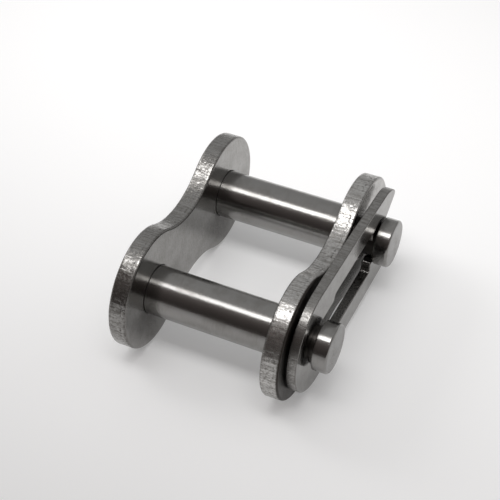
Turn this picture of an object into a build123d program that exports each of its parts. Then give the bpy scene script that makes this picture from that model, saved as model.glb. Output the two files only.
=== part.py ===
from build123d import *
import math
import os

# Connecting link of a roller chain, spring-clip type.
#
# Two pins are riveted into the pin link plate. The connecting plate slides over
# their free ends, and a flat spring clip snaps into a groove in each pin to keep
# it there.
#
# Axes: X along the pins, towards the clip. Y along the chain, towards the clip's
# open end. Z up. The link stands on the lobes of its two side plates, and the
# origin is on that surface, under the middle of the link's overall size.
# Millimetres throughout.

# ---------------------------------------------------------------- the chain
pitch = 12.7                    # distance between the two pin axes
inner_width = 11.1              # room between the side plates

# ---------------------------------------------------------------- side plates
plate_thickness = 1.5
plate_height = 9.95             # across a lobe
plate_waist = 6.16              # across the narrow middle
plate_edge_round = 0.22         # tumbled outer edge
hole_edge_round = 0.10          # mouths of the pin holes
slip_clearance = 0.035          # radial, connecting plate on a pin
press_interference = 0.01       # radial, pin in the pin link plate

# ---------------------------------------------------------------- pins
pin_diameter = 3.97
rivet_spread = 0.18             # radial, how far the riveted end stands over its hole
rivet_height = 0.32             # riveted end's straight rim
rivet_crown = 0.10              # rise of the riveted end's dome
rivet_edge_round = 0.12
groove_depth = 0.535            # radial
groove_undercut = 0.10          # the groove starts this far inside the connecting plate
groove_corner_round = 0.12
groove_lip_round = 0.08
head_length = 1.22              # beyond the groove
head_edge_round = 0.20

# ---------------------------------------------------------------- spring clip
clip_thickness = 0.80
clip_edge_round = 0.10
clip_play = 0.55                # free space between plate, clip and head
clip_plate_gap = 0.20           # left under the closed end, at the front pin
clip_head_gap = 0.10            # left under the head, at the rear pin
clip_nose_radius = 4.41         # round closed end
clip_nose_inset = 0.63          # its centre, from the front pin towards the middle
clip_knee_width = 8.60          # widest place of the two legs
clip_knee_inset = 5.35          # from the rear pin towards the middle
clip_tip_width = 8.20           # over the legs where the tips start to turn in
clip_tip_reach = 0.65           # from the rear pin outwards to that place
clip_tip_radius = 3.15          # outer curve of the tips
clip_tip_round = 0.40           # rounded end of each tip
clip_lip_angle = 36.0           # degrees, slope of each flared lip
clip_lip_round = 0.18           # between seat and lip
clip_head_passage = 0.115       # radial, room for a pin's head in the wide slot
clip_slot_start = 3.35          # wide slot, from the front pin towards the middle
clip_slot_end = 1.75            # wide slot, from the rear pin towards the middle
clip_slot_corner = 0.34         # inner corners of the wide slot
clip_shoulder_round = 0.22      # convex corners between the slots
clip_seat_clearance = 0.05      # radial, clip round the bottom of a groove
clip_snap = 0.25                # radial, how far the throat is narrower than the groove

# ---------------------------------------------------------------- worked out
pin_radius = pin_diameter / 2
lobe_radius = plate_height / 2
half_pitch = pitch / 2
groove_radius = pin_radius - groove_depth
groove_width = groove_undercut + clip_thickness + clip_play
rivet_length = rivet_height + rivet_crown

# Stations along the pins, from the middle of the chain.
plate_inside = inner_width / 2
plate_outside = plate_inside + plate_thickness
groove_start = plate_outside - groove_undercut
groove_end = groove_start + groove_width
head_end = groove_end + head_length
rivet_end = plate_outside + rivet_length

# The origin is midway between the riveted ends and the heads, and at the lobes' foot.
middle_x = (rivet_end - head_end) / 2
axle_z = lobe_radius

# The clip lies in the free space with its closed end nearer to the plate.
clip_rise = clip_play - clip_plate_gap - clip_head_gap
clip_lean = math.degrees(math.atan2(clip_rise, pitch))
clip_middle = plate_outside + clip_plate_gap + clip_rise / 2 + clip_thickness / 2

os.makedirs("parts", exist_ok=True)


def finish(builder, label):
    """Label a finished piece and write its STEP file."""
    builder.part.label = label
    export_step(builder.part, f"parts/{label}.step")


def side_plane(station):
    """Plane square to the pins, local X along the chain, at a station along them."""
    return Plane(origin=(middle_x + station, 0, axle_z), x_dir=(0, 1, 0), z_dir=(1, 0, 0))


def round_corners(sketch, radius_at):
    """Round a sketch's corners, each named by a point on it or close by."""
    for point, radius in radius_at.items():
        fillet(sketch.vertices().sort_by_distance(point)[0], radius)


# ---------------------------------------------------------------- side plates

def link_plate(inner_face, outward, hole_radius):
    """Figure-eight plate: two lobes joined by waist arcs tangent to both."""
    half_waist = plate_waist / 2
    waist_radius = (half_pitch**2 + half_waist**2 - lobe_radius**2) / (2 * (lobe_radius - half_waist))
    waist_rise = half_waist + waist_radius
    # Slope of the line from a lobe's centre to a waist arc's centre, on which the two arcs touch.
    touch = math.degrees(math.atan2(waist_rise, half_pitch))
    with BuildPart() as plate:
        with BuildSketch(side_plane(inner_face)):
            with BuildLine():
                CenterArc((-half_pitch, 0), lobe_radius, touch, 360 - 2 * touch)
                CenterArc((0, -waist_rise), waist_radius, touch, 180 - 2 * touch)
                CenterArc((half_pitch, 0), lobe_radius, 180 + touch, 360 - 2 * touch)
                CenterArc((0, waist_rise), waist_radius, 180 + touch, 180 - 2 * touch)
            make_face()
            with Locations((-half_pitch, 0), (half_pitch, 0)):
                Circle(hole_radius, mode=Mode.SUBTRACT)
        extrude(amount=outward * plate_thickness)
        flats = plate.faces().filter_by(Axis.X)
        rims = [flat.outer_wire().edges() for flat in flats]
        holes = [wire.edges() for flat in flats for wire in flat.inner_wires()]
        fillet(rims, plate_edge_round)
        fillet(holes, hole_edge_round)
    return plate


finish(link_plate(-plate_inside, -1, pin_radius - press_interference), "pin_link_plate")
finish(link_plate(plate_inside, 1, pin_radius + slip_clearance), "connecting_plate")


# ---------------------------------------------------------------- pins

def connecting_pin(y):
    """Turned pin: riveted end, running length, clip groove and head."""
    rivet_radius = pin_radius + rivet_spread
    dome_radius = (rivet_radius**2 + rivet_crown**2) / (2 * rivet_crown)
    axis_plane = Plane(origin=(middle_x, y, axle_z), x_dir=(1, 0, 0), z_dir=(0, -1, 0))
    with BuildPart() as pin:
        with BuildSketch(axis_plane) as profile:
            with BuildLine():
                dome = RadiusArc((-rivet_end, 0), (rivet_crown - rivet_end, rivet_radius), dome_radius)
                Polyline(
                    dome @ 1,
                    (-plate_outside, rivet_radius),
                    (-plate_outside, pin_radius),
                    (groove_start, pin_radius),
                    (groove_start, groove_radius),
                    (groove_end, groove_radius),
                    (groove_end, pin_radius),
                    (head_end, pin_radius),
                    (head_end, 0),
                    dome @ 0,
                )
            make_face()
            round_corners(profile, {
                (rivet_crown - rivet_end, rivet_radius): rivet_edge_round,
                (groove_start, pin_radius): groove_lip_round,
                (groove_start, groove_radius): groove_corner_round,
                (groove_end, groove_radius): groove_corner_round,
                (groove_end, pin_radius): groove_lip_round,
                (head_end, pin_radius): head_edge_round,
            })
        revolve(axis=Axis(axis_plane.origin, axis_plane.x_dir))
    return pin


for name, y in (("front_pin", -half_pitch), ("rear_pin", half_pitch)):
    finish(connecting_pin(y), name)


# ---------------------------------------------------------------- spring clip

def touch_angle(centre, radius, point, side):
    """Direction from a circle's centre to where a line from the point touches it."""
    reach_x, reach_y = point[0] - centre[0], point[1] - centre[1]
    towards = math.degrees(math.atan2(reach_y, reach_x))
    opening = math.degrees(math.acos(radius / math.hypot(reach_x, reach_y)))
    return towards + side * opening


def spring_clip():
    """Flat clip with a keyhole slot, drawn as one leg and mirrored about the chain's line."""
    seat_radius = groove_radius + clip_seat_clearance
    slot_half = pin_radius + clip_head_passage
    throat_half = groove_radius - clip_snap
    throat_reach = math.sqrt(seat_radius**2 - throat_half**2)

    nose = (-half_pitch + clip_nose_inset, 0)
    knee = (half_pitch - clip_knee_inset, clip_knee_width / 2)
    tip = (half_pitch + clip_tip_reach, clip_tip_width / 2 - clip_tip_radius)
    nose_touch = touch_angle(nose, clip_nose_radius, knee, 1)
    tip_touch = touch_angle(tip, clip_tip_radius, knee, -1)

    # Corners of the slot's upper half. Lip and tip curve meet short of the lip's end point.
    seat_top = (-half_pitch, seat_radius)
    slot_start = -half_pitch + clip_slot_start
    slot_end = half_pitch - clip_slot_end
    inner_throat = (half_pitch - throat_reach, throat_half)
    throat = (half_pitch + throat_reach, throat_half)
    lip_run = clip_tip_reach + clip_tip_radius - throat_reach
    lip_rise = lip_run * math.tan(math.radians(clip_lip_angle))
    lip_end = (throat[0] + lip_run, throat_half + lip_rise)

    with BuildPart() as clip:
        with BuildSketch(side_plane(clip_middle).rotated((0, -clip_lean, 0))) as leg:
            with BuildLine():
                round_end = CenterArc(nose, clip_nose_radius, 180, nose_touch - 180)
                round_tip = CenterArc(tip, clip_tip_radius, tip_touch, -tip_touch)
                Polyline(round_end @ 1, knee, round_tip @ 0)
                Polyline(round_tip @ 1, (lip_end[0], 0), round_end @ 0)
            make_face()
            with BuildLine():
                steps = FilletPolyline(
                    seat_top,
                    (slot_start, seat_radius),
                    (slot_start, slot_half),
                    (slot_end, slot_half),
                    (slot_end, throat_half),
                    throat,
                    radius=(clip_shoulder_round, clip_slot_corner, clip_slot_corner, clip_shoulder_round),
                )
                Polyline(steps @ 1, lip_end, (lip_end[0], 0), (-half_pitch, 0), steps @ 0)
            make_face(mode=Mode.SUBTRACT)
            with Locations((-half_pitch, 0), (half_pitch, 0)):
                Circle(seat_radius, mode=Mode.SUBTRACT)
            round_corners(leg, {
                lip_end: clip_tip_round,
                throat: clip_lip_round,
                inner_throat: clip_lip_round,
            })
            mirror(about=Plane.XZ)
        extrude(amount=clip_thickness / 2, both=True)
        fillet(clip.faces().sort_by(SortBy.AREA)[-2:].edges(), clip_edge_round)
    return clip


finish(spring_clip(), "spring_clip")
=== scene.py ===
import logging
import math
from abc import ABC, abstractmethod
from dataclasses import dataclass, replace
from enum import Enum
from typing import Any, Sequence

import bmesh
import bpy
import numpy as np
from mathutils import Matrix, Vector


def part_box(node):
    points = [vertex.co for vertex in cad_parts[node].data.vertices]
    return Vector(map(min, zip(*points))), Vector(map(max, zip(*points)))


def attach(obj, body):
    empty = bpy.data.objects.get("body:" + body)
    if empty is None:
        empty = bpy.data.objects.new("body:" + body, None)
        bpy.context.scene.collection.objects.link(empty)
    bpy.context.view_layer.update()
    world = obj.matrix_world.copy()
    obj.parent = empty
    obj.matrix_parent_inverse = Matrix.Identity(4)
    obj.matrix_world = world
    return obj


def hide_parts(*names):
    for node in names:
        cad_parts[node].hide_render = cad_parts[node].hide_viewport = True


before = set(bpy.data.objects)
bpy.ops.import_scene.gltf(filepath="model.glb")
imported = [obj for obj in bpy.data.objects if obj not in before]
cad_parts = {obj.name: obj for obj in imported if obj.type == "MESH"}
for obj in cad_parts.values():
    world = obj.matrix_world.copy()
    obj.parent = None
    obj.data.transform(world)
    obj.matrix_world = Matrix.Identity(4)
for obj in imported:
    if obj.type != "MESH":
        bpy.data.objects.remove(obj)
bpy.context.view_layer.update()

# Connecting link of a roller chain, spring-clip type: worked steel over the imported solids.
#
# X runs along the pins towards the clip, Y along the chain towards the clip's open end
# and Z up. Shapes are worked out in millimetres and put into the meshes in metres.

MM = 0.001  # metres in a millimetre
ARC_STEP = 0.01  # mm between the points of a long arc
ARC_POINTS = 6  # fewest points on any arc
CORNER_POINTS = 8  # on a small corner round
HOLD = 0.015  # mm from the end of a straight run to the point that keeps it straight
WELD_DIGITS = 5  # decimals of a millimetre in which welded points agree
SAME_PLACE = 1e-9  # mm between points of a line that count as one

log = logging.getLogger("connecting_link")
Point = tuple[float, float]
Colour = tuple[float, float, float, float]


class Body(Enum):
    """Moving parts of the link."""

    PIN_LINK = "pin_link"
    LOOSE_PLATE = "loose_plate"


class Slot(Enum):
    """Material slots of the record."""

    PLATE = "plate_steel"
    PIN = "pin_steel"
    CLIP = "clip_steel"


# ------------------------------------------------------------------ lines in a plane


def unit(vectors: np.ndarray) -> np.ndarray:
    """Vectors divided by their own lengths."""
    return vectors / np.linalg.norm(vectors, axis=-1, keepdims=True)


def arc(
    centre: Sequence[float], radius: float, start: float, end: float, count: int = 0
) -> np.ndarray:
    """Points on an arc: the centre plus the radius times the cosine and sine of even angles.

    Args:
        centre: Middle of the circle.
        radius: Its radius.
        start: First angle in degrees.
        end: Last angle in degrees; below start the arc runs clockwise.
        count: Number of points, or 0 for one every hundredth of a millimetre.

    Returns:
        The points, one per row.
    """
    run = abs(math.radians(end - start)) * radius
    angle = np.radians(np.linspace(start, end, count or max(ARC_POINTS, round(run / ARC_STEP))))
    return np.array(centre) + radius * np.stack([np.cos(angle), np.sin(angle)], axis=1)


def rounded(corners: Sequence[Point], radii: Sequence[float], count: int = 0) -> np.ndarray:
    """Straight runs with each inner corner replaced by an arc that touches both runs.

    The arc's centre stands on the corner's bisector, at the radius over the sine of half
    the corner's angle.

    Args:
        corners: First point, inner corners and last point.
        radii: One radius for each inner corner.
        count: Points on each arc, or 0 for one every hundredth of a millimetre.

    Returns:
        The points, one per row.
    """
    at = np.array(corners, float)
    runs = [at[:1]]
    for before, corner, after, radius in zip(at, at[1:], at[2:], radii):
        back, on = unit(before - corner), unit(after - corner)
        half = math.acos(float(np.clip(back @ on, -1, 1))) / 2
        centre = corner + unit(back + on) * radius / math.sin(half)
        starts, ends = (corner + side * radius / math.tan(half) - centre for side in (back, on))
        first = math.degrees(math.atan2(starts[1], starts[0]))
        turn = math.degrees(math.atan2(starts[0] * ends[1] - starts[1] * ends[0], starts @ ends))
        runs.append(arc(centre, radius, first, first + turn, count))
    return np.vstack([*runs, at[-1:]])


def nestled(foot: Point, along: Point, centre: Point, reach: float, radius: float) -> np.ndarray:
    """Centre of a round that touches a line and a circle.

    It stands the round's radius to the left of the line, where that shifted line meets
    a circle of the given reach.

    Args:
        foot: A point on the line.
        along: The line's unit direction.
        centre: Middle of the circle.
        reach: The circle's radius plus or less the round's.
        radius: The round's radius.

    Returns:
        The nearer such centre to the line's foot.
    """
    ahead = np.array(along)
    start = np.array(foot) + radius * np.array([-ahead[1], ahead[0]]) - np.array(centre)
    middle = -(start @ ahead)
    swing = math.sqrt(middle**2 - start @ start + reach**2)
    return np.array(centre) + start + ahead * min(middle - swing, middle + swing, key=abs)


def angle_to(centre: Sequence[float], point: Sequence[float]) -> float:
    """Direction from a centre to a point, in degrees."""
    return math.degrees(math.atan2(point[1] - centre[1], point[0] - centre[0]))


def touch_angle(centre: Point, radius: float, point: Point, side: int) -> float:
    """Direction in degrees to where a line from a point touches a circle, on side 1 or -1."""
    opening = math.degrees(math.acos(radius / math.dist(centre, point)))
    return angle_to(centre, point) + side * opening


def travel(points: np.ndarray) -> np.ndarray:
    """Length along a line up to each of its points."""
    steps = np.linalg.norm(np.diff(points, axis=0), axis=1)
    return np.concatenate([[0.0], np.cumsum(steps)])


def at_travel(points: np.ndarray, wanted: np.ndarray) -> np.ndarray:
    """Points at given lengths along a line, straight between its own points."""
    run = travel(points)
    return np.stack([np.interp(wanted, run, points[:, axis]) for axis in (0, 1)], axis=1)


def divided(points: np.ndarray) -> np.ndarray:
    """The same line with two points to each arc step, also on its straight runs."""
    length = travel(points)[-1]
    return at_travel(points, np.linspace(0, length, round(2 * length / ARC_STEP)))


def outward(loop: np.ndarray) -> np.ndarray:
    """Unit normals of a closed clockwise loop: the chord between neighbours, turned left."""
    chord = np.roll(loop, -1, axis=0) - np.roll(loop, 1, axis=0)
    return unit(np.stack([-chord[:, 1], chord[:, 0]], axis=1))


def held(low: float, high: float, spacing: float) -> np.ndarray:
    """Stations along a straight run, with one close to each end to keep it straight.

    Args:
        low: The run's first end.
        high: Its last end.
        spacing: Distance between the stations, about.

    Returns:
        The stations in order, both ends among them.
    """
    inner = np.linspace(low, high, max(2, round(abs(high - low) / spacing) + 1))[1:-1]
    hold = math.copysign(min(HOLD, abs(high - low) / 4), high - low)
    return np.concatenate([[low, low + hold], inner, [high - hold, high]])


# ------------------------------------------------------------------ surfaces


@dataclass(frozen=True)
class Patch:
    """Grid of surface points.

    Attributes:
        points: Rows by columns by 3, in millimetres.
        grain: Coordinates in millimetres that the tool marks follow, same shape.
        rim: 1 where the surface is a sheared rim and 0 on a flat, rows by columns.
        grime_and_shade: Share of oil and dust that has settled there, and of shade painted into the
            colour, rows by columns.
        wound: Whether the last column joins the first.
    """

    points: np.ndarray
    grain: np.ndarray
    rim: np.ndarray
    grime_and_shade: np.ndarray
    wound: bool = True

    def quads(self, first: int) -> np.ndarray:
        """Corner numbers of the grid's faces.

        Args:
            first: Number of the grid's first point.

        Returns:
            Four numbers for each face.
        """
        rows, columns = self.rim.shape
        number = first + np.arange(rows * columns).reshape(rows, columns)
        beside = np.roll(number, -1, axis=1)
        if not self.wound:
            number, beside = number[:, :-1], beside[:, :-1]
        return np.stack([number[:-1], beside[:-1], beside[1:], number[1:]], axis=-1).reshape(-1, 4)


def welded_piece(name: str, patches: Sequence[Patch]) -> bpy.types.Object:
    """One closed mesh object from patches that share their edges.

    Points that agree to a hundred-thousandth of a millimetre become one, and a face that
    loses a corner by that, as at a pole, becomes a triangle.

    Args:
        name: The piece's name.
        patches: Grids that together close round the piece.

    Returns:
        The object, with its place in its mesh and its faces outwards.
    """
    points = np.vstack([patch.points.reshape(-1, 3) for patch in patches])
    grain = np.vstack([patch.grain.reshape(-1, 3) for patch in patches])
    starts = np.cumsum([0] + [patch.rim.size for patch in patches])
    quads = np.vstack([patch.quads(first) for patch, first in zip(patches, starts)])
    _, kept, welded = np.unique(
        np.round(points, WELD_DIGITS), axis=0, return_index=True, return_inverse=True
    )
    quads = welded.reshape(-1)[quads]
    lost = quads == np.roll(quads, -1, axis=1)
    whole, once = quads[~lost.any(axis=1)], lost.sum(axis=1) == 1
    triangles = quads[once][~lost[once]].reshape(-1, 3)

    mesh = bpy.data.meshes.new(name)
    mesh.from_pydata(points[kept] * MM, [], whole.tolist() + triangles.tolist())
    marks = mesh.attributes.new("grain", "FLOAT_VECTOR", "POINT")
    marks.data.foreach_set("vector", grain[kept].astype(np.float32).ravel())
    for label in ("rim", "grime_and_shade"):
        share = np.concatenate([getattr(patch, label).ravel() for patch in patches])
        made = mesh.attributes.new(label, "FLOAT", "POINT")
        made.data.foreach_set("value", share[kept].astype(np.float32))
    work = bmesh.new()
    work.from_mesh(mesh)
    bmesh.ops.recalc_face_normals(work, faces=work.faces)
    work.to_mesh(mesh)
    work.free()
    mesh.polygons.foreach_set("use_smooth", np.ones(len(mesh.polygons), bool))
    piece = bpy.data.objects.new(name, mesh)
    bpy.context.scene.collection.objects.link(piece)
    return piece


@dataclass(frozen=True)
class RimGrid:
    """Where the points of a rim stand, in millimetres.

    Attributes:
        run: Length along the rim of each column.
        across: Distance across the rim of each row.
        length: Whole length of the rim.
    """

    run: np.ndarray
    across: np.ndarray
    length: float


@dataclass(frozen=True)
class Layer:
    """Layer of smooth random heights on a rim.

    Attributes:
        number: Picks the layer's random numbers.
        along: Size of its cells along the rim, in millimetres.
        over: Their size across the rim.
        weight: The layer's share of the relief.
    """

    number: int
    along: float
    over: float
    weight: float = 1.0


STREAKS = (Layer(1, 0.12, 0.6, 0.6), Layer(2, 0.22, 0.9), Layer(3, 0.5, 1.3, 0.65))
MOTTLING = (Layer(4, 0.17, 0.2, 0.3), Layer(5, 0.32, 0.4, 0.7), Layer(7, 0.9, 0.7, 2.5))
NICKS = (Layer(6, 0.2, 0.24),)


@dataclass(frozen=True)
class ToolMarks:
    """Relief left on a sheared rim: streaks across the strip, mottling and small nicks.

    Attributes:
        seed: Start of the random numbers.
        streak_depth: Height of the streaks, in millimetres.
        mottle_depth: Height of the mottling.
        nick_depth: Depth of the deepest nicks.
        nick_level: Height in their layer above which a spot is a nick.
    """

    seed: int
    streak_depth: float = 0.008
    mottle_depth: float = 0.020
    nick_depth: float = 0.014
    nick_level: float = 0.45

    def smooth_noise(self, grid: RimGrid, layer: Layer) -> np.ndarray:
        """Smooth random heights on a rim, from -1 to 1.

        Random numbers stand on a lattice of cells. Between them the height follows the
        cubic step 3t^2 - 2t^3 in both directions, and the lattice meets itself after the
        whole length of the rim.

        Args:
            grid: The rim's points.
            layer: Cells and random numbers of the layer.

        Returns:
            Heights, rows by columns.
        """
        columns = max(4, round(grid.length / layer.along))
        rows = int(np.ptp(grid.across) / layer.over) + 3
        lattice = np.random.default_rng((self.seed, layer.number)).uniform(-1, 1, (rows, columns))
        u = grid.run / grid.length * columns
        v = (grid.across - grid.across.min()) / layer.over
        left, low = np.floor(u).astype(int), np.floor(v).astype(int)
        fu, fv = (t * t * (3 - 2 * t) for t in (u - left, v - low))
        near, far = lattice[:, left % columns], lattice[:, (left + 1) % columns]
        along = near + (far - near) * fu
        return along[low] + (along[low + 1] - along[low]) * fv[:, None]

    def depth(self, grid: RimGrid) -> np.ndarray:
        """How far the marks go under the nominal rim.

        Streaks and mottling are means of layers of smooth noise, in long and in square
        cells. A nick is what stands over its level in a layer of small cells.

        Args:
            grid: The rim's points.

        Returns:
            Depths, rows by columns.
        """

        def mean(layers: Sequence[Layer]) -> np.ndarray:
            """Mean height of some layers, each by its weight."""
            noise = (self.smooth_noise(grid, layer) * layer.weight for layer in layers)
            return sum(noise) / sum(layer.weight for layer in layers)

        nicks = np.clip(mean(NICKS) - self.nick_level, 0, None) / (1 - self.nick_level)
        deep = self.streak_depth * mean(STREAKS) + self.mottle_depth * mean(MOTTLING)
        return (self.streak_depth + self.mottle_depth) + deep + self.nick_depth * nicks


def turned(station: np.ndarray, radius: np.ndarray, turn: np.ndarray) -> np.ndarray:
    """Profile turned about an axis: station, then radius times the turn's cosine and sine."""
    around = np.outer(radius, np.cos(turn)), np.outer(radius, np.sin(turn))
    return np.stack([np.broadcast_to(station[:, None], around[0].shape), *around], axis=-1)


def wound_grain(across: np.ndarray, radius: float, turn: np.ndarray) -> np.ndarray:
    """Grain wound round a drum: its radius times the turn's cosine and sine, then across."""
    return np.roll(turned(across, np.full(len(across), radius), turn), -1, axis=-1)


@dataclass(frozen=True)
class Strip:
    """Edge of a piece cut out of steel strip: two rounded corners and the sheared rim.

    Attributes:
        thickness: Of the strip.
        edge_round: Radius of its tumbled corners.
        marks: Relief of the rim.
        row_spacing: Distance between rows of points across the rim.
    """

    thickness: float
    edge_round: float
    marks: ToolMarks
    row_spacing: float = 0.06

    def section(self) -> tuple[np.ndarray, np.ndarray]:
        """Cross-section from one flat round the rim to the other.

        Returns:
            Points as (distance out from the flat's edge, height from the lower flat), and
            the outward directions there.
        """
        r, t = self.edge_round, self.thickness
        low = arc((0, r), r, -90, 0, CORNER_POINTS)
        high = arc((0, t - r), r, 0, 90, CORNER_POINTS)
        straight = held(r, t - r, self.row_spacing)[1:-1]
        wall = np.stack([np.full(len(straight), r), straight], axis=1)
        facing = [(low - (0, r)) / r, np.tile([1.0, 0.0], (len(wall), 1)), (high - (0, t - r)) / r]
        return np.vstack([low, wall, high]), np.vstack(facing)

    def rim(self, loop: np.ndarray) -> tuple[Patch, np.ndarray]:
        """The rim in the strip's own frame: its plane first and its height last.

        A point is the loop's point, drawn in by the corner radius and moved out again by
        the section. The marks then go in along the surface's own direction, fading out
        towards both flats with the square of the section's outward part.

        Args:
            loop: Closed clockwise outline, evenly spaced, in the strip's plane.

        Returns:
            The rim's patch, and the outline of the flats, drawn in by the corner radius.
        """
        out = outward(loop)
        edge = loop - out * self.edge_round
        section, facing = self.section()
        run = travel(np.vstack([loop, loop[:1]]))
        grid = RimGrid(run[:-1], travel(section), run[-1])
        share = facing[:, :1] ** 2
        depth = self.marks.depth(grid) * share
        reach, height = (section[:, part, None] - depth * facing[:, part, None] for part in (0, 1))
        points = np.concatenate([edge + out * reach[..., None], height[..., None]], axis=-1)
        drum = grid.length / (2 * np.pi)
        grain = wound_grain(grid.across, drum, grid.run / grid.length * 2 * np.pi)
        share = np.broadcast_to(share, height.shape)
        return Patch(points, grain, share, np.zeros(share.shape)), edge


def ruled(first: np.ndarray, second: np.ndarray, shares: Sequence[float]) -> np.ndarray:
    """Rows between two edges: each point is a share of the way from one to the other."""
    return first + (second - first) * np.array(shares)[:, None, None]


def flat_patch(rows: np.ndarray, height: float) -> Patch:
    """Patch of an open flat.

    Args:
        rows: Its rows of points in the plane.
        height: Its height over the lower flat.

    Returns:
        The patch, clean and without relief.
    """
    level = np.full(rows.shape[:2] + (1,), height)
    points = np.concatenate([rows, level], axis=-1)
    clean = np.zeros(rows.shape[:2])
    return Patch(points, points, clean, clean, wound=False)


def placed(patch: Patch, origin: Sequence[float], seed: int, lean: float = 0.0) -> Patch:
    """Patch moved from a strip's own frame to the link's.

    Plane coordinates go along the chain and up, and height along the pins. The strip is
    then turned about an upright line by the lean. The grain is moved in its own plane by
    the seed, so that no two pieces show the same pattern.

    Args:
        patch: Patch in the strip's frame.
        origin: Where that frame's origin stands in the link's.
        seed: The piece's own number.
        lean: Degrees that the strip's length turns towards +X.

    Returns:
        The same patch in the link's frame.
    """
    c, s = math.cos(math.radians(lean)), math.sin(math.radians(lean))
    along, up, height = np.moveaxis(patch.points, -1, 0)
    moved = np.stack([height * c + along * s, along * c - height * s, up], axis=-1)
    return replace(patch, points=moved + np.array(origin), grain=patch.grain + (seed, seed, 0))


# ------------------------------------------------------------------ shader writing


class Value:
    """Number, vector or colour on its way through a material, with Python's operators."""

    def __init__(self, sheet: "Sheet", socket: bpy.types.NodeSocket | None) -> None:
        """Wraps an output socket of a node."""
        self.sheet = sheet
        self.socket = socket

    def _math(self, operation: str, *terms: Any) -> "Value":
        """A Math node over the terms."""
        return self.sheet.node("ShaderNodeMath", {"operation": operation}, dict(enumerate(terms)))

    def __add__(self, other: Any) -> "Value":
        """Sum."""
        return self._math("ADD", self, other)

    def __sub__(self, other: Any) -> "Value":
        """Difference."""
        return self._math("SUBTRACT", self, other)

    def __rsub__(self, other: Any) -> "Value":
        """Difference, from a plain number."""
        return self._math("SUBTRACT", other, self)

    def __mul__(self, other: Any) -> "Value":
        """Product."""
        return self._math("MULTIPLY", self, other)

    __radd__ = __add__
    __rmul__ = __mul__

    def clamped(self) -> "Value":
        """Value held between 0 and 1."""
        return self.sheet.node("ShaderNodeClamp", {}, {0: self})

    def stretched(self, x: float, y: float, z: float) -> "Value":
        """Vector with each part multiplied by its own number."""
        return self.sheet.node(
            "ShaderNodeVectorMath", {"operation": "MULTIPLY"}, {0: self, 1: (x, y, z)}
        )

    def ramp(self, low: float, high: float) -> "Value":
        """Smooth step from 0 where the value is low to 1 where it is high."""
        return self.sheet.node(
            "ShaderNodeMapRange", {"interpolation_type": "SMOOTHSTEP"}, {0: self, 1: low, 2: high}
        )


class Sheet:
    """Node tree of a material or a world, written as expressions."""

    def __init__(self, tree: bpy.types.NodeTree) -> None:
        """Clears a node tree and keeps it."""
        tree.nodes.clear()
        self.tree = tree

    def node(
        self,
        kind: str,
        settings: dict[str, Any],
        sockets: dict[int | str, Any],
        output: int | str = 0,
    ) -> Value:
        """Adds a node: first its settings, then the values or links of its sockets.

        Args:
            kind: The node's type.
            settings: Properties by name.
            sockets: Numbers, vectors or links by input name or number.
            output: The output to return.

        Returns:
            That output, or an empty value for a node that has none.
        """
        made = self.tree.nodes.new(kind)
        for name, value in settings.items():
            setattr(made, name, value)
        for name, value in sockets.items():
            if isinstance(value, Value):
                self.tree.links.new(value.socket, made.inputs[name])
            else:
                made.inputs[name].default_value = value
        return Value(self, made.outputs[output] if len(made.outputs) else None)

    def blend(self, share: Any, first: Any, second: Any) -> Value:
        """Colour between two colours."""
        settings = {"data_type": "RGBA", "blend_type": "MIX", "clamp_factor": True}
        return self.node("ShaderNodeMix", settings, {0: share, 6: first, 7: second}, 2)

    def attribute(self, name: str, output: str) -> Value:
        """A mesh's own attribute."""
        return self.node("ShaderNodeAttribute", {"attribute_name": name}, {}, output)

    def object_millimetres(self) -> Value:
        """Object coordinates in millimetres."""
        place = self.node("ShaderNodeTexCoord", {}, {}, "Object")
        return place.stretched(1 / MM, 1 / MM, 1 / MM)

    def relief(self, height: Value) -> Value:
        """Normal bent by a height in millimetres."""
        return self.node("ShaderNodeBump", {}, {"Strength": 1.0, "Distance": MM, "Height": height})


@dataclass(frozen=True)
class Pattern:
    """Noise that stands for one kind of mark.

    Attributes:
        scale: Marks per millimetre.
        detail: Finer layers in it.
        rough: Strength of each finer layer against the one before.
        drawn: Multipliers of the coordinates; under 1 draws the marks out that way.
    """

    scale: float
    detail: float
    rough: float = 0.6
    drawn: tuple[float, float, float] | None = None

    def on(self, place: Value) -> Value:
        """Lays the noise on a place.

        Args:
            place: Coordinates in millimetres.

        Returns:
            The noise, about 0.5.
        """
        at = place.stretched(*self.drawn) if self.drawn else place
        numbers = {"Scale": self.scale, "Detail": self.detail, "Roughness": self.rough}
        settings = {"noise_dimensions": "3D"}
        return place.sheet.node("ShaderNodeTexNoise", settings, {"Vector": at, **numbers})


Marks = tuple[Value, Value, Value, Value]


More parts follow.
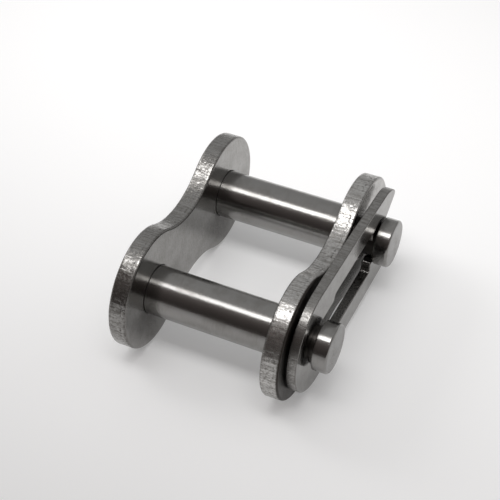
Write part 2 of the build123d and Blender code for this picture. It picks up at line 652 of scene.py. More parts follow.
@dataclass(frozen=True)
class Steel(ABC):
    """Stainless steel: what its finishes share.

    Attributes:
        name: The material's name.
        bare: Colour of clean metal.
        dull: Colour of its duller places.
        grime_and_shade: Colour of settled oil and dust, also used for painted shade.
        gloss: Roughness of the cleanest places.
        haze: How much rougher the dull places are.
        darkened_haze: How much rougher the darkened places are, both the oily ones and those with
            painted shade.
    """

    name: str
    bare: Colour
    dull: Colour = (0.210, 0.203, 0.192, 1.0)
    grime_and_shade: Colour = (0.035, 0.030, 0.026, 1.0)
    gloss: float = 0.16
    haze: float = 0.10
    darkened_haze: float = 0.2

    @abstractmethod
    def marks(self, sheet: Sheet) -> Marks:
        """Height in millimetres, dullness, roughness and share of grime and painted shade of this
        finish.
        """

    def material(self) -> bpy.types.Material:
        """Builds the material.

        Returns:
            Metal in its own two colours, then the colour of grime and painted shade, with its marks
            as relief.
        """
        made = bpy.data.materials.new(self.name)
        made.use_nodes = True
        sheet = Sheet(made.node_tree)
        height, dullness, roughness, darkened = self.marks(sheet)
        metal = sheet.blend(dullness, self.bare, self.dull)
        # Darkened places take the grime colour: settled oil and dust, and shade painted into the
        # colour.
        surface = sheet.node("ShaderNodeBsdfPrincipled", {}, {
            "Metallic": 1.0,
            "Base Color": sheet.blend(darkened, metal, self.grime_and_shade),
            "Roughness": roughness + darkened * self.darkened_haze,
            "Normal": sheet.relief(height),
        })
        sheet.node("ShaderNodeOutputMaterial", {}, {"Surface": surface})
        return made


@dataclass(frozen=True)
class StripSteel(Steel):
    """Rolled and tumbled strip: satin flats, with sheared rims that keep their streaks.

    Attributes:
        rim_gloss: Roughness of the rims.
        rim_haze: How much rougher their dull streaks are.
        rim_pits: How much rougher their small pits are.
        flat_dullness: How much duller the flats are all over.
        flat_grain: Height of their fine grain, in millimetres.
        rim_grain: Height of the rims' fine streaks.
        corner_shade: Darkness of the shade painted on the rims' rounded corners.
        score_grime: Darkness of the deepest streaks.
        tear_line: Where the dark specks stand across the rim, in millimetres.
        tear_grime: Darkness of those specks.
    """

    rim_gloss: float = 0.13
    rim_haze: float = 0.14
    rim_pits: float = 0.22
    flat_dullness: float = 0.0
    flat_grain: float = 0.0028
    rim_grain: float = 0.008
    corner_shade: float = 1.4
    score_grime: float = 0.25
    tear_line: float = 1.2
    tear_grime: float = 0.6

    def flats(self, wound: Value, cloud: Value) -> tuple[Value, Value]:
        """Satin flats: fine even grain, faint scuffs and clouds.

        Args:
            wound: The grain's coordinates.
            cloud: Large soft patches.

        Returns:
            Height in millimetres, and dullness from 0 to 1.
        """
        fine = Pattern(scale=6.0, detail=4, rough=0.65).on(wound)
        scuffs = Pattern(scale=1.5, detail=4, drawn=(6.0, 0.7, 1.0)).on(wound)
        dull = (cloud * 0.7 + fine * 0.7 + scuffs * 0.5).ramp(0.65, 1.25)
        return (fine * 0.7 + scuffs * 0.9) * self.flat_grain, dull

    def dark_lines(self, wound: Value, rim: Value, grit: Value, cloud: Value) -> Value:
        """Dirt in a rim: its deepest streaks, and a broken row of specks.

        The row follows the line at which the punch's shear turned into a tear, where the
        square of the distance from it is small.

        Args:
            wound: The grain's coordinates.
            rim: 1 on the rim and 0 on the flats.
            grit: The rim's fine pits.
            cloud: Large soft patches.

        Returns:
            Share of grime.
        """
        off = wound.sheet.node("ShaderNodeSeparateXYZ", {}, {0: wound}, "Z") - self.tear_line
        tear = (off * off).ramp(0.006, 0.001) * rim * grit.ramp(0.46, 0.56) * cloud.ramp(0.45, 0.58)
        scores = Pattern(scale=10.0, detail=3, drawn=(1.0, 1.0, 0.14)).on(wound).ramp(0.46, 0.62)
        return tear * self.tear_grime + scores * rim * self.score_grime

    def marks(self, sheet: Sheet) -> Marks:
        """Grain and scuffs on the flats, and streaks and grit across the rims.

        Flats and rims are worked out apart and then mixed by the share of rim.

        Args:
            sheet: The material's nodes.

        Returns:
            Height in millimetres, dullness from 0 to 1, roughness, and share of grime and painted
            shade.
        """
        wound = sheet.attribute("grain", "Vector")
        share = sheet.attribute("rim", "Fac")
        rim = share.ramp(0.05, 0.75)

        cloud = Pattern(scale=0.7, detail=4).on(wound)
        flat_height, flat_dull = self.flats(wound, cloud)
        streaks = Pattern(scale=5.0, detail=4, rough=0.62, drawn=(1.0, 1.0, 0.09)).on(wound)
        grit = Pattern(scale=6.5, detail=3, drawn=(1.0, 1.0, 0.8)).on(wound)
        rim_height = (streaks + grit * 0.8) * self.rim_grain
        rim_dull = (streaks * 0.9 + grit * 0.9).ramp(0.72, 1.12)

        height = flat_height + (rim_height - flat_height) * rim
        flat_tone = flat_dull * (1 - self.flat_dullness) + self.flat_dullness
        dullness = flat_tone + (rim_dull - flat_tone) * rim
        flat_rough = flat_dull * self.haze + self.gloss
        pits = grit.ramp(0.50, 0.60) * self.rim_pits
        rim_rough = rim_dull * self.rim_haze + pits + self.rim_gloss
        rough = flat_rough + (rim_rough - flat_rough) * rim

        # Painted shade on the rounded corners between rim and flats, darkest halfway round each.
        corner = share * (1.0 - share) * self.corner_shade
        dark = self.dark_lines(wound, rim, grit, cloud)
        return height, dullness, rough, (sheet.attribute("grime_and_shade", "Fac") + corner + dark).clamped()


@dataclass(frozen=True)
class TurnedSteel(Steel):
    """Turned and ground bar: fine rings from the tool, faint lines along from grinding.

    Attributes:
        ring_height: Height of the tool's rings, in millimetres.
        line_height: Height of the lines along the bar.
        grit_height: Height of the fine grit.
    """

    ring_height: float = 0.0020
    line_height: float = 0.0036
    grit_height: float = 0.0055

    def marks(self, sheet: Sheet) -> Marks:
        """Rings along the turned profile, lines that run with it, and fine grit.

        Args:
            sheet: The material's nodes.

        Returns:
            Height in millimetres, dullness from 0 to 1, roughness, and share of grime and painted
            shade.
        """
        wound = sheet.attribute("grain", "Vector")
        place = sheet.object_millimetres()
        rings = Pattern(scale=9.0, detail=4, rough=0.65, drawn=(0.12, 0.12, 1.0)).on(wound)
        lines = Pattern(scale=4.0, detail=4, rough=0.62, drawn=(1.0, 1.0, 0.10)).on(wound)
        cloud = Pattern(scale=0.8, detail=3, rough=0.5).on(place)
        grit = Pattern(scale=7.0, detail=3).on(place)
        height = rings * self.ring_height + lines * self.line_height + grit * self.grit_height
        dullness = (cloud * 0.9 + rings * 0.5).ramp(0.60, 1.05)
        return height, dullness, dullness * self.haze + self.gloss, sheet.attribute("grime_and_shade", "Fac")


TUMBLED_STRIP = StripSteel(
    name="tumbled_strip_steel",
    bare=(0.33, 0.324, 0.315, 1.0),
    gloss=0.11,
    haze=0.14,
    flat_dullness=0.15,
    rim_gloss=0.14,
    rim_pits=0.16,
    rim_grain=0.014,
)
BRIGHT_STRIP = StripSteel(
    name="bright_strip_steel",
    bare=(0.53, 0.522, 0.51, 1.0),
    dull=(0.26, 0.251, 0.238, 1.0),
    gloss=0.11,
    haze=0.14,
    flat_dullness=0.6,
    rim_gloss=0.20,
    rim_pits=0.08,
    rim_grain=0.014,
)
SPRING_STRIP = StripSteel(
    name="spring_strip_steel",
    bare=(0.29, 0.284, 0.275, 1.0),
    dull=(0.19, 0.183, 0.173, 1.0),
    gloss=0.12,
    rim_gloss=0.24,
    rim_pits=0.04,
    rim_grain=0.002,
    score_grime=0.18,
)
TURNED_BAR = TurnedSteel(
    name="turned_pin_steel",
    bare=(0.275, 0.27, 0.262, 1.0),
    dull=(0.215, 0.207, 0.195, 1.0),
    gloss=0.18,
    haze=0.08,
)


# ------------------------------------------------------------------ the link's pieces


@dataclass(frozen=True)
class ChainSize:
    """Sizes that the pieces share, in millimetres.

    Attributes:
        pitch: Distance between the two pin axes.
        pin_radius: Of a pin's running length.
        axle_height: Of the pin axes over the floor.
        middle_x: X of the middle of the chain.
        plate_inside: From there to the inner face of a side plate.
        plate_outside: From there to its outer face.
        groove_radius: Of a pin at the bottom of its groove.
    """

    pitch: float = 12.7
    pin_radius: float = 1.985
    axle_height: float = 4.975
    middle_x: float = -1.075
    plate_inside: float = 5.55
    plate_outside: float = 7.05
    groove_radius: float = 1.45

    @property
    def half_pitch(self) -> float:
        """From the middle of the link to a pin's axis."""
        return self.pitch / 2


@dataclass(frozen=True, kw_only=True)
class WorkedPiece(ABC):
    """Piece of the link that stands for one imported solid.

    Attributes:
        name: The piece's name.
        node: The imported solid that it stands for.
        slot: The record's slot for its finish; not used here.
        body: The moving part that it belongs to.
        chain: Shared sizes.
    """

    name: str
    node: str
    slot: Slot
    body: Body = Body.PIN_LINK
    chain: ChainSize = ChainSize()

    @abstractmethod
    def surface(self) -> list[Patch]:
        """Patches that together close round the piece, in the link's frame."""

    def build(self) -> bpy.types.Object:
        """Builds the piece's mesh."""
        return welded_piece(self.name, self.surface())

    def dress(self, piece: bpy.types.Object, finish: bpy.types.Material) -> None:
        """Gives the piece its finish and lets it ride on its body, in its solid's place.

        Args:
            piece: The built piece.
            finish: Its material.
        """
        piece.data.materials.append(finish)
        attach(piece, self.body.value)
        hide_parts(self.node)

    def report(self, piece: bpy.types.Object) -> None:
        """Logs the piece's faces and how far its box is off its solid's.

        Args:
            piece: The built piece.
        """
        low, high = (np.array(corner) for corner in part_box(self.node))
        place = np.array([v.co for v in piece.data.vertices])
        off = np.concatenate([place.min(0) - low, place.max(0) - high]) / MM
        faces = len(piece.data.polygons)
        log.info("%s: %d faces, off its solid by %s mm", piece.name, faces, np.round(off, 3))


FACE_SHARES = (0.0, 0.008, 0.1, 0.3, 0.5, 0.7, 0.9, 0.992, 1.0)


@dataclass(frozen=True, kw_only=True)
class SidePlate(WorkedPiece):
    """Figure-eight side plate, blanked from strip and tumbled.

    Attributes:
        hole_radius: Of its two holes.
        low_x: X of the face with the lower X.
        marks: Relief of its rim.
        thickness: Of the strip.
        height: Across a lobe.
        waist: Across the narrow middle.
        edge_round: Tumbled corners of the rim.
        hole_round: Corners of the holes.
        clip_shade: Share of shade painted on the plate behind the clip.
        clip_shade_starts: Where it starts, as a share of the way to the front pin.
        clip_shade_full: Where it is full, as such a share.
        mouth_shade: Share of shade painted into the holes' walls and mouths, round the pins.
        film: Share of shade painted on a flat below each pin.
        shade_below_reach: How far that shade goes from the hole.
        columns: Points round the outline; a multiple of 2.
        middle_points: Points across the plate's middle line.
        wall_spacing: Distance between rows of points down a hole.
    """

    slot: Slot = Slot.PLATE
    hole_radius: float
    low_x: float
    marks: ToolMarks
    thickness: float = 1.5
    height: float = 9.95
    waist: float = 6.16
    edge_round: float = 0.22
    hole_round: float = 0.10
    clip_shade: float = 0.0
    clip_shade_starts: float = 0.15
    clip_shade_full: float = 0.65
    mouth_shade: float = 0.5
    # Shade painted on the flats below each pin.
    film: float = 0.75
    shade_below_reach: float = 2.9
    columns: int = 1320
    middle_points: int = 80
    wall_spacing: float = 0.35

    def outline(self) -> np.ndarray:
        """Closed clockwise outline from the middle of the waist's upper side.

        Two lobes' arcs join two waist arcs, each centred where it touches both lobes from
        outside.

        Returns:
            Evenly spaced points in the plate's plane, the first not repeated.
        """
        lobe, low, half = self.height / 2, self.waist / 2, self.chain.half_pitch
        waist_radius = (half**2 + low**2 - lobe**2) / (2 * (lobe - low))
        rise = low + waist_radius
        touch = math.degrees(math.atan2(rise, half))
        quarter = np.vstack([
            arc((0, rise), waist_radius, 270, 360 - touch),
            arc((half, 0), lobe, 180 - touch, 0),
        ])
        side = np.vstack([quarter, quarter[::-1] * (1, -1)])
        loop = np.vstack([side, side[::-1] * (-1, 1)])
        steps = np.linalg.norm(np.diff(loop, axis=0), axis=1)
        loop = loop[np.concatenate([[True], steps > SAME_PLACE])]
        return at_travel(loop, np.arange(self.columns) / self.columns * travel(loop)[-1])

    def darkened(self, points: np.ndarray) -> np.ndarray:
        """Share of painted shade behind the clip, on points in the plate's frame.

        It grows evenly along the way from the plate's middle to the front pin, and from
        the foot of the rim's upper corner to the flat.

        Args:
            points: Points in the plate's frame.

        Returns:
            Shares from 0 to the clip shade's own.
        """
        along, _, height = np.moveaxis(points, -1, 0)
        way = -along / self.chain.half_pitch
        near = np.clip((way - self.clip_shade_starts) / (self.clip_shade_full - self.clip_shade_starts), 0, 1)
        raised = np.clip((height - self.thickness) / self.edge_round + 1, 0, 1)
        return self.clip_shade * near * raised

    def shade_below_pin(self, points: np.ndarray, centre: np.ndarray) -> np.ndarray:
        """Share of painted shade on a flat, fullest at the foot of a pin and below it.

        It is 0.3 less 1.5 times the sine of the direction from the pin, held between 0
        and 1, and falls off evenly with the distance from the hole.

        Args:
            points: Points in the plate's frame.
            centre: The pin's axis in the plate's plane.

        Returns:
            Shares from 0 to the painted shade's own.
        """
        off = points[..., :2] - centre
        away = np.linalg.norm(off, axis=-1)
        below = np.clip(0.3 - 1.5 * off[..., 1] / away, 0, 1)
        return self.film * below * np.clip(1 - (away - self.hole_radius) / self.shade_below_reach, 0, 1)

    def hole_section(self) -> np.ndarray:
        """Section of a hole from the lower flat to the upper: two quarter circles and a wall.

        Returns:
            Points as (distance out from the bore, height).
        """
        r, t = self.hole_round, self.thickness
        heights = held(r, t - r, self.wall_spacing)[1:-1]
        wall = np.stack([np.zeros(len(heights)), heights], axis=1)
        low, high = arc((r, r), r, 270, 180, ARC_POINTS), arc((r, t - r), r, 180, 90, ARC_POINTS)
        return np.vstack([low, wall, high])

    def lobe(self, edge: np.ndarray, side: int) -> Patch:
        """Both flats of one lobe and the wall of its hole, as one patch.

        The lobe's border is its half of the outline, closed along the plate's middle line.
        Each flat is ruled from that border to the circle round the hole, every point of
        which stands in the direction of its partner.

        Args:
            edge: The flats' outline.
            side: 1 for the lobe towards +Y, -1 for the other.

        Returns:
            The patch in the plate's own frame.
        """
        half = self.columns // 2
        middle = ruled(edge[:1], edge[half : half + 1], np.linspace(0, 1, self.middle_points))[:, 0]
        if side > 0:
            border = np.vstack([edge[: half + 1], middle[::-1][1:-1]])
        else:
            border = np.vstack([edge[half:], middle[:-1]])
        centre = np.array([side * self.chain.half_pitch, 0.0])
        section = self.hole_section()
        ring = centre + unit(border - centre) * (self.hole_radius + section[:, 0, None, None])
        height = np.broadcast_to(section[:, 1, None, None], ring.shape[:2] + (1,))
        face = ruled(border, ring[0], FACE_SHARES)
        lower, upper = flat_patch(face, 0.0).points, flat_patch(face[::-1], self.thickness).points
        points = np.vstack([lower[:-1], np.concatenate([ring, height], axis=-1), upper[1:]])
        # Painted shade behind the clip and below each pin.
        grime_and_shade = np.maximum(self.darkened(points), self.shade_below_pin(points, centre))
        inner = len(FACE_SHARES) - 1
        # The hole's wall and mouths get painted shade, for the crevice round the pin.
        grime_and_shade[inner:-inner] = self.mouth_shade
        return Patch(points, points, np.zeros(grime_and_shade.shape), grime_and_shade)

    def surface(self) -> list[Patch]:
        """The rim and the two lobes.

        Returns:
            Three patches in the link's frame.
        """
        rim, edge = Strip(self.thickness, self.edge_round, self.marks).rim(self.outline())
        # The rim takes the shade painted behind the clip as well.
        rim = replace(rim, grime_and_shade=self.darkened(rim.points))
        origin = (self.low_x, 0.0, self.chain.axle_height)
        patches = [rim, self.lobe(edge, 1), self.lobe(edge, -1)]
        return [placed(patch, origin, self.marks.seed) for patch in patches]


@dataclass(frozen=True, kw_only=True)
class ConnectingPin(WorkedPiece):
    """Turned pin with a riveted end, a clip groove and a head.

    Attributes:
        y: Its axis along the chain.
        rivet_spread: How far the riveted end stands over its hole.
        rivet_height: Straight rim of the riveted end.
        rivet_crown: Rise of its dome.
        rivet_edge_round: Corner of the riveted end.
        groove_start: Where the groove starts, from the middle of the chain.
        groove_width: Of the groove.
        groove_corner_round: At the bottom of the groove.
        groove_lip_round: At its mouth.
        head_length: Beyond the groove.
        head_edge_round: Corner of the head's end.
        sharp_round: Corners that are left sharp.
        root_ring: Width of the ring of painted shade where the pin leaves its plate.
        root_shade: Share of painted shade in that ring.
        groove_painted_shade: Share of shade painted into the groove.
        groove_shade: Depth in the groove from which it is full.
        end_shade: Share of shade painted on the head's end.
        spacing: Distance between points on the profile's straight runs.
        crown_points: Points on the dome.
        columns: Points round the pin.
    """

    slot: Slot = Slot.PIN
    y: float
    rivet_spread: float = 0.18
    rivet_height: float = 0.32
    rivet_crown: float = 0.10
    rivet_edge_round: float = 0.12
    groove_start: float = 6.95
    groove_width: float = 1.45
    groove_corner_round: float = 0.12
    groove_lip_round: float = 0.08
    head_length: float = 1.22
    head_edge_round: float = 0.20
    sharp_round: float = 0.02
    root_ring: float = 0.05
    root_shade: float = 0.65
    groove_painted_shade: float = 0.85
    groove_shade: float = 0.1
    end_shade: float = 0.31
    spacing: float = 0.25
    crown_points: int = 24
    columns: int = 240

    @property
    def groove_end(self) -> float:
        """Where the groove ends, from the middle of the chain."""
        return self.groove_start + self.groove_width

    def profile(self) -> np.ndarray:
        """Half section as (station from the middle of the chain, radius), pole to pole.

        The dome is an arc centred on the axis. A round inside both joins it to the rim of
        the riveted end, and the rest is straight runs with rounded corners.

        Returns:
            The points from the dome's top to the middle of the head's end.
        """
        pin, groove = self.chain.pin_radius, self.chain.groove_radius
        plate = self.chain.plate_outside
        rivet = pin + self.rivet_spread
        dome = (rivet**2 + self.rivet_crown**2) / (2 * self.rivet_crown)
        far = plate + self.rivet_height + self.rivet_crown
        centre = (-far + dome, 0.0)
        bend = self.rivet_edge_round
        corner = nestled((-far, rivet), (-1, 0), centre, dome - bend, bend)
        turn_in = angle_to(centre, corner)
        crown = arc(centre, dome, 180, turn_in, self.crown_points)
        edge = arc(corner, bend, turn_in, 90, CORNER_POINTS)
        start, end = self.groove_start, self.groove_end
        head = end + self.head_length
        corners = [
            tuple(edge[-1]), (-plate, rivet), (-plate, pin), (start, pin),
            (start, groove), (end, groove), (end, pin), (head, pin), (head, 0.0),
        ]
        small, lip, root = self.sharp_round, self.groove_lip_round, self.groove_corner_round
        radii = [small, small, lip, root, root, lip, self.head_edge_round]
        return np.vstack([crown, edge, rounded(corners, radii, CORNER_POINTS)])

    def filled(self, line: np.ndarray) -> np.ndarray:
        """Line with its long runs divided, more closely at the ends and at the pin's root.

        Args:
            line: The profile.

        Returns:
            The same profile, with nine more points within two ring widths of the root.
        """
        run = travel(line)
        long = np.flatnonzero(np.diff(run) > 3 * HOLD)
        stations = [held(run[k], run[k + 1], self.spacing) for k in long]
        rings = -self.chain.plate_inside + np.linspace(-2, 2, 9) * self.root_ring
        root = np.interp(rings, line[:, 0], run)
        wanted = np.unique(np.round(np.concatenate([run, root, *stations]), 9))
        return at_travel(line, wanted)

    def grime_and_shade(self, line: np.ndarray) -> np.ndarray:
        """Share of painted shade along the profile: at the root, in the groove, on the end.

        The ring falls off as e^-(d/w)^2 with the distance d from the plate's face and the
        ring's width w. In the groove the share grows with the depth under the pin's
        surface.

        Args:
            line: The profile.

        Returns:
            One share for each of its points.
        """
        station, radius = line.T
        # Painted shade in the crevice where the pin leaves its plate.
        ring = np.exp(-(((station + self.chain.plate_inside) / self.root_ring) ** 2))
        # Painted shade, deepening into the groove.
        sunk = np.clip((self.chain.pin_radius - radius) / self.groove_shade, 0, 1)
        inside = (station >= self.groove_start) & (station <= self.groove_end)
        # Painted shade darkening the head's end face.
        end = station > self.groove_end + self.head_length - HOLD
        return ring * self.root_shade + sunk * inside * self.groove_painted_shade + end * self.end_shade

    def surface(self) -> list[Patch]:
        """The profile turned about the pin's axis.

        Returns:
            One patch in the link's frame.
        """
        line = self.filled(self.profile())
        turn = np.arange(self.columns) / self.columns * 2 * np.pi
        axis = (self.chain.middle_x, self.y, self.chain.axle_height)
        grain = wound_grain(travel(line) + self.y, self.chain.pin_radius, turn)
        grime_and_shade = np.broadcast_to(self.grime_and_shade(line)[:, None], grain.shape[:2])
        return [Patch(turned(*line.T, turn) + axis, grain, np.zeros(grime_and_shade.shape), grime_and_shade)]


@dataclass(frozen=True, kw_only=True)
class SpringClip(WorkedPiece):
    """Flat clip with a keyhole slot, sprung into the pins' grooves.

    Attributes:
        marks: Relief of its rim.
        thickness: Of the strip.
        edge_round: Corners of the rim.
        middle_station: Its middle plane, from the middle of the chain.
        lean: Degrees that it turns away from the plate: 0.25 mm over the pitch.
        nose_radius: Round closed end.
        nose_inset: Centre of that round, from the front pin towards the middle.
        knee_width: Widest place of the two legs.
        knee_inset: That place, from the rear pin towards the middle.
        tip_width: Over the legs where the tips start to turn in.
        tip_reach: That place, from the rear pin outwards.
        tip_radius: Outer curve of the tips.
        tip_round: Rounded end of each tip.
        lip_angle: Slope of each flared lip, in degrees.
        lip_round: Between seat and lip.
        slot_half: Half width of the wide slot.
        slot_start: From the front pin towards the middle.
        slot_end: From the rear pin towards the middle.
        slot_corner: Corners of the wide slot.
        shoulder_round: Convex corners between the slots.
        seat_radius: Where the clip grips a groove.
        throat_half: Half width of the throat that the rear groove snaps through.
        spacing: Distance between points along its edges.
        row_spacing: Distance between rows of points across the rim.
        shares: Rows of points across a leg, as shares of the way.
    """

    name: str = "spring_clip_sprung"
    node: str = "spring_clip"
    slot: Slot = Slot.CLIP
    marks: ToolMarks
    thickness: float = 0.80
    edge_round: float = 0.10
    middle_station: float = 7.775
    lean: float = math.degrees(math.atan2(0.25, ChainSize.pitch))
    nose_radius: float = 4.41
    nose_inset: float = 0.63
    knee_width: float = 8.60
    knee_inset: float = 5.35
    tip_width: float = 8.20
    tip_reach: float = 0.65
    tip_radius: float = 3.15
    tip_round: float = 0.40
    lip_angle: float = 36.0
    lip_round: float = 0.18
    slot_half: float = 2.10
    slot_start: float = 3.35
    slot_end: float = 1.75
    slot_corner: float = 0.34
    shoulder_round: float = 0.22
    seat_radius: float = 1.50
    throat_half: float = 1.20
    spacing: float = 0.045
    row_spacing: float = 0.05
    shares: tuple[float, ...] = (0.0, 0.008, 0.15, 0.4, 0.6, 0.85, 0.992, 1.0)

    def leg(self) -> tuple[np.ndarray, np.ndarray]:
        """Upper leg's outer and inner edge, both from the nose to the middle of the tip.

        The outer edge is the nose's arc, two straight runs that meet at the knee, and the
        tip's arc. The inner edge is the seat's quarter, the slot's steps, the rear seat
        and the lip. A small round inside the tip's arc and on the lip joins the two.

        Returns:
            Two lines of points in the clip's plane.
        """
        half = self.chain.half_pitch
        nose = (-half + self.nose_inset, 0.0)
        knee = (half - self.knee_inset, self.knee_width / 2)
        tip = (half + self.tip_reach, self.tip_width / 2 - self.tip_radius)
        rear = (half, 0.0)
        reach = math.sqrt(self.seat_radius**2 - self.throat_half**2)
        slope = math.radians(self.lip_angle)
        lip = (math.cos(slope), math.sin(slope))
        throat = (half + reach, self.throat_half)

        end = nestled(throat, lip, tip, self.tip_radius - self.tip_round, self.tip_round)
        if end[0] < tip[0]:
            raise ValueError("the tip's round stands on the wrong side")
        turn_in, rest = angle_to(tip, end), self.lip_angle - 90
        middle = (turn_in + rest) / 2
        outer = np.vstack([
            arc(nose, self.nose_radius, 180, touch_angle(nose, self.nose_radius, knee, 1)),
            [knee],
            arc(tip, self.tip_radius, touch_angle(tip, self.tip_radius, knee, -1), turn_in),
            arc(end, self.tip_round, turn_in, middle),
        ])

        grip = self.seat_radius + self.lip_round
        mouth = nestled(throat, lip, rear, grip, self.lip_round)
        inlet = nestled((half - reach, self.throat_half), (1, 0), rear, grip, self.lip_round)
        seat_in, seat_out = angle_to(rear, inlet), angle_to(rear, mouth)
        start, stop = -half + self.slot_start, half - self.slot_end
        steps = rounded(
            [
                (-half, self.seat_radius),
                (start, self.seat_radius),
                (start, self.slot_half),
                (stop, self.slot_half),
                (stop, self.throat_half),
                (inlet[0], self.throat_half),
            ],
            [self.shoulder_round, self.slot_corner, self.slot_corner, self.shoulder_round],
        )
        inner = np.vstack([
            arc((-half, 0.0), self.seat_radius, 180, 90),
            steps,
            arc(inlet, self.lip_round, -90, seat_in - 180),
            arc(rear, self.seat_radius, seat_in, seat_out),
            arc(mouth, self.lip_round, seat_out + 180, self.lip_angle + 270),
            arc(end, self.tip_round, middle, rest)[::-1],
        ])
        return outer, inner

    def paired_edges(self) -> tuple[np.ndarray, np.ndarray]:
        """Outer and inner edge of the upper leg with as many points each, side by side.

        Both edges are cut at matching stations along the leg, so that a straight line
        from a point to its partner stays inside the metal past the slot's steps.

        Returns:
            Two equally long lines of points, both from the nose to the middle of the tip.
        """
        edges = [divided(line) for line in self.leg()]
        half = self.chain.half_pitch
        start, stop = -half + self.slot_start, half - self.slot_end
        # Near the outer edge, and its partner at a corner of the slot or on the rear seat.
        partners = [
            ((start - 0.9, 4.3), (start - self.shoulder_round, self.seat_radius)),
            ((start - 0.1, 4.3), (start + self.slot_corner, self.slot_half)),
            ((stop + 0.4, 4.2), (stop - self.slot_corner, self.slot_half)),
            ((stop + 1.0, 4.2), (stop + self.shoulder_round, self.throat_half)),
            ((half + 0.9, 4.1), (half + 0.75, self.seat_radius)),
        ]
        cuts = []
        for line, points in zip(edges, zip(*partners)):
            run = travel(line)
            near = [int(np.linalg.norm(line - point, axis=1).argmin()) for point in points]
            cuts.append(np.concatenate([[0.0], run[near], run[-1:]]))
        counts = np.round(np.maximum(*np.diff(cuts, axis=1)) / self.spacing)
        counts = np.maximum(4, counts).astype(int)
        for number, cut in enumerate(cuts):
            spans = [np.linspace(a, b, n, endpoint=False) for a, b, n in zip(cut, cut[1:], counts)]
            edges[number] = at_travel(edges[number], np.concatenate([*spans, cut[-1:]]))
        outer, inner = edges
        inner[-1] = outer[-1]
        return outer, inner

    def surface(self) -> list[Patch]:
        """One closed rim, and each leg's flats ruled from its outer to its inner edge.

        Returns:
            Five patches in the link's frame.
        """
        outer, inner = self.paired_edges()
        upper = np.vstack([outer, inner[::-1][1:]])
        upper[[0, -1], 1] = 0.0
        loop = np.vstack([upper, upper[::-1][1:-1] * (1, -1)])
        strip = Strip(self.thickness, self.edge_round, self.marks, self.row_spacing)
        rim, edge = strip.rim(loop)
        last = len(upper) - 1
        legs = edge[: last + 1], np.vstack([edge[last:], edge[:1]])[::-1]
        patches, count = [rim], len(outer)
        for leg in legs:
            rows = ruled(leg[:count], leg[count - 1 :][::-1], self.shares)
            patches += [flat_patch(rows, height) for height in (0.0, self.thickness)]

        turn, drop = math.radians(self.lean), self.thickness / 2
        across = self.chain.middle_x + self.middle_station - drop * math.cos(turn)
        origin = (across, drop * math.sin(turn), self.chain.axle_height)
        return [placed(patch, origin, self.marks.seed, self.lean) for patch in patches]


# ------------------------------------------------------------------ studio


@dataclass(frozen=True)
class SoftBox:
    """Flat rectangular lamp that looks at a point.

    Attributes:
        name: The lamp's name.
        place: Its middle, in millimetres.
        target: What it looks at.
        width: Its size along the world's X, as near as it can turn.
        depth: Its other size.
        brightness: Light given off, where 1 looks white.
        spread: Angle over which its grid lets light out, in degrees.
    """

    name: str
    place: tuple[float, float, float]
    target: tuple[float, float, float]
    width: float
    depth: float
    brightness: float
    spread: float

    def hang(self) -> None:
        """Hangs the lamp, its own X level and as near to the world's X as it can be."""
        lamp = bpy.data.lights.new(self.name, "AREA")
        lamp.shape = "RECTANGLE"
        lamp.size, lamp.size_y = self.width * MM, self.depth * MM
        lamp.energy = self.brightness * math.pi * lamp.size * lamp.size_y
        lamp.spread = math.radians(self.spread)
        back = unit(np.subtract(self.place, self.target))
        side = unit(np.cross([0.0, 1.0, 0.0], back))
        matrix = np.eye(4)
        matrix[:3, :3] = np.stack([side, np.cross(back, side), back], axis=1)
        matrix[:3, 3] = np.array(self.place) * MM
        hung = bpy.data.objects.new(self.name, lamp)
        hung.matrix_world = Matrix(matrix.tolist())
        bpy.context.scene.collection.objects.link(hung)


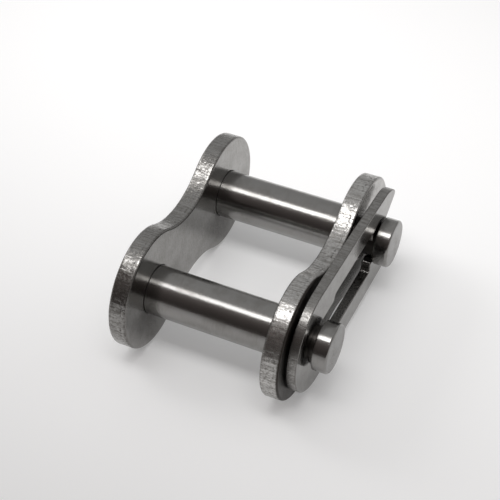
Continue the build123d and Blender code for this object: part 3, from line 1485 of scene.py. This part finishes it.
@dataclass(frozen=True)
class Studio:
    """Pale floor, soft boxes, room light and camera.

    Attributes:
        boxes: The lamps.
        chain: The link's sizes, for the point that the camera looks at.
        floor_half: From the link to the floor's edge, in metres.
        floor_colour: Of the floor.
        floor_lift: Brightness added to the floor where it is seen or mirrored.
        room_light: Brightness of the whole room.
        back_light: Brightness added behind the link.
        top_light: Brightness added overhead.
        front_tint: Colour of the room's light in front of the link.
        azimuth: Camera's direction round the link, in degrees.
        elevation: Its height above the horizon.
        distance: From the middle of the link, in millimetres.
        shift: Sideways and upward shift of the camera, in millimetres.
        lens: Focal length in millimetres.
        film: Width of the film that it is given for.
        view_depth: Nearest and furthest distance that the camera sees, in metres.
    """

    boxes: tuple[SoftBox, ...]
    chain: ChainSize = ChainSize()
    floor_half: float = 0.6
    floor_colour: Colour = (0.75, 0.75, 0.75, 1.0)
    floor_lift: float = 0.22
    room_light: float = 0.08
    back_light: float = 0.40
    top_light: float = 0.08
    front_tint: Colour = (1.0, 0.86, 0.82, 1.0)
    azimuth: float = 24.952
    elevation: float = 43.237
    distance: float = 101.623
    shift: tuple[float, float] = (-0.347, 0.719)
    lens: float = 91.15
    film: float = 36.0
    view_depth: tuple[float, float] = (0.005, 10.0)

    def lay_floor(self) -> None:
        """Lays the floor under the link's lobes."""
        size = self.floor_half
        mesh = bpy.data.meshes.new("floor")
        places = [(x * size, y * size, 0) for x, y in ((-1, -1), (1, -1), (1, 1), (-1, 1))]
        mesh.from_pydata(places, [], [(0, 1, 2, 3)])
        floor = bpy.data.objects.new("floor", mesh)
        bpy.context.scene.collection.objects.link(floor)
        made = bpy.data.materials.new("pale_floor")
        made.use_nodes = True
        sheet = Sheet(made.node_tree)
        camera, glossy, through = (
            sheet.node("ShaderNodeLightPath", {}, {}, f"Is {kind} Ray")
            for kind in ("Camera", "Glossy", "Transmission")
        )
        seen = (camera + glossy + through).clamped()
        matte = sheet.node("ShaderNodeBsdfDiffuse", {}, {"Color": self.floor_colour})
        lift = sheet.node("ShaderNodeEmission", {}, {"Strength": seen * self.floor_lift})
        both = sheet.node("ShaderNodeAddShader", {}, {0: matte, 1: lift})
        sheet.node("ShaderNodeOutputMaterial", {}, {"Surface": both})
        mesh.materials.append(made)

    def light_room(self) -> None:
        """Lights the room: dim in front, brighter behind and overhead."""
        world = bpy.data.worlds.new("room")
        world.use_nodes = True
        bpy.context.scene.world = world
        sheet = Sheet(world.node_tree)
        towards = sheet.node("ShaderNodeTexCoord", {}, {}, "Generated")
        behind = sheet.node("ShaderNodeSeparateXYZ", {}, {0: towards}, "Y").ramp(-0.75, 0.35)
        above = sheet.node("ShaderNodeSeparateXYZ", {}, {0: towards}, "Z").ramp(0.2, 0.9)
        level = behind * self.back_light + above * self.top_light + self.room_light
        tint = sheet.blend(behind, self.front_tint, (1.0, 1.0, 1.0, 1.0))
        glow = sheet.node("ShaderNodeBackground", {}, {"Color": tint, "Strength": level})
        sheet.node("ShaderNodeOutputWorld", {}, {"Surface": glow})

    def set_camera(self) -> None:
        """Sets up the camera: straight at the link from its azimuth and elevation."""
        a, e = math.radians(self.azimuth), math.radians(self.elevation)
        back = np.array([math.sin(a) * math.cos(e), -math.cos(a) * math.cos(e), math.sin(e)])
        right = np.array([math.cos(a), math.sin(a), 0.0])
        up = np.cross(back, right)
        middle = np.array([self.chain.middle_x, 0.0, self.chain.axle_height])
        place = middle + back * self.distance + right * self.shift[0] + up * self.shift[1]
        lens = bpy.data.cameras.new("camera")
        lens.sensor_width, lens.lens = self.film, self.lens
        lens.clip_start, lens.clip_end = self.view_depth
        camera = bpy.data.objects.new("camera", lens)
        camera.location = place * MM
        camera.rotation_euler = (math.pi / 2 - e, 0.0, a)
        bpy.context.scene.collection.objects.link(camera)
        bpy.context.scene.camera = camera

    def build(self) -> None:
        """Sets up the whole studio."""
        self.set_camera()
        self.lay_floor()
        self.light_room()
        for box in self.boxes:
            box.hang()
        bpy.context.scene.view_settings.view_transform = "Standard"


# ------------------------------------------------------------------ the whole link


def link_pieces(chain: ChainSize) -> list[tuple[WorkedPiece, Steel]]:
    """The link's pieces with their finishes, in the order in which it is put together.

    Args:
        chain: Shared sizes.

    Returns:
        Each piece with its steel.
    """
    pin_link_plate = SidePlate(
        name="pin_link_plate_blanked",
        node="pin_link_plate",
        hole_radius=1.975,
        low_x=chain.middle_x - chain.plate_outside,
        marks=ToolMarks(seed=11),
    )
    connecting_plate = SidePlate(
        name="connecting_plate_blanked",
        node="connecting_plate",
        body=Body.LOOSE_PLATE,
        hole_radius=2.020,
        low_x=chain.middle_x + chain.plate_inside,
        marks=ToolMarks(seed=29),
        # Shade painted on this plate's outer face behind the clip.
        clip_shade=0.95,
    )
    front, rear = (
        ConnectingPin(name=f"{node}_turned", node=node, y=side * chain.half_pitch)
        for node, side in (("front_pin", -1), ("rear_pin", 1))
    )
    clip_marks = ToolMarks(seed=43, streak_depth=0.003, mottle_depth=0.004, nick_depth=0.0)
    return [
        (pin_link_plate, TUMBLED_STRIP),
        (connecting_plate, BRIGHT_STRIP),
        (front, TURNED_BAR),
        (rear, TURNED_BAR),
        (SpringClip(marks=clip_marks), SPRING_STRIP),
    ]


SOFT_BOXES = (
    SoftBox(
        name="overhead_box",
        place=(-5, -28, 131),
        target=(-5, 30, 5),
        width=146,
        depth=39,
        brightness=1.35,
        spread=70,
    ),
    SoftBox(
        name="side_box",
        place=(-105, 30, 88),
        target=(0, 50, 0),
        width=60,
        depth=80,
        brightness=0.7,
        spread=60,
    ),
)


def corners(bounds: Sequence[Sequence[float]]) -> list[list[float]]:
    """A box as plain lists of numbers."""
    return [[float(number) for number in corner] for corner in bounds]


def main() -> None:
    """Builds the link and its studio."""
    logging.basicConfig(level=logging.INFO, format="%(name)s: %(message)s")
    steels = (TUMBLED_STRIP, BRIGHT_STRIP, SPRING_STRIP, TURNED_BAR)
    finishes = {steel: steel.material() for steel in steels}
    for work, steel in link_pieces(ChainSize()):
        piece = work.build()
        work.dress(piece, finishes[steel])
        work.report(piece)
    Studio(SOFT_BOXES).build()


if __name__ == "__main__":
    main()
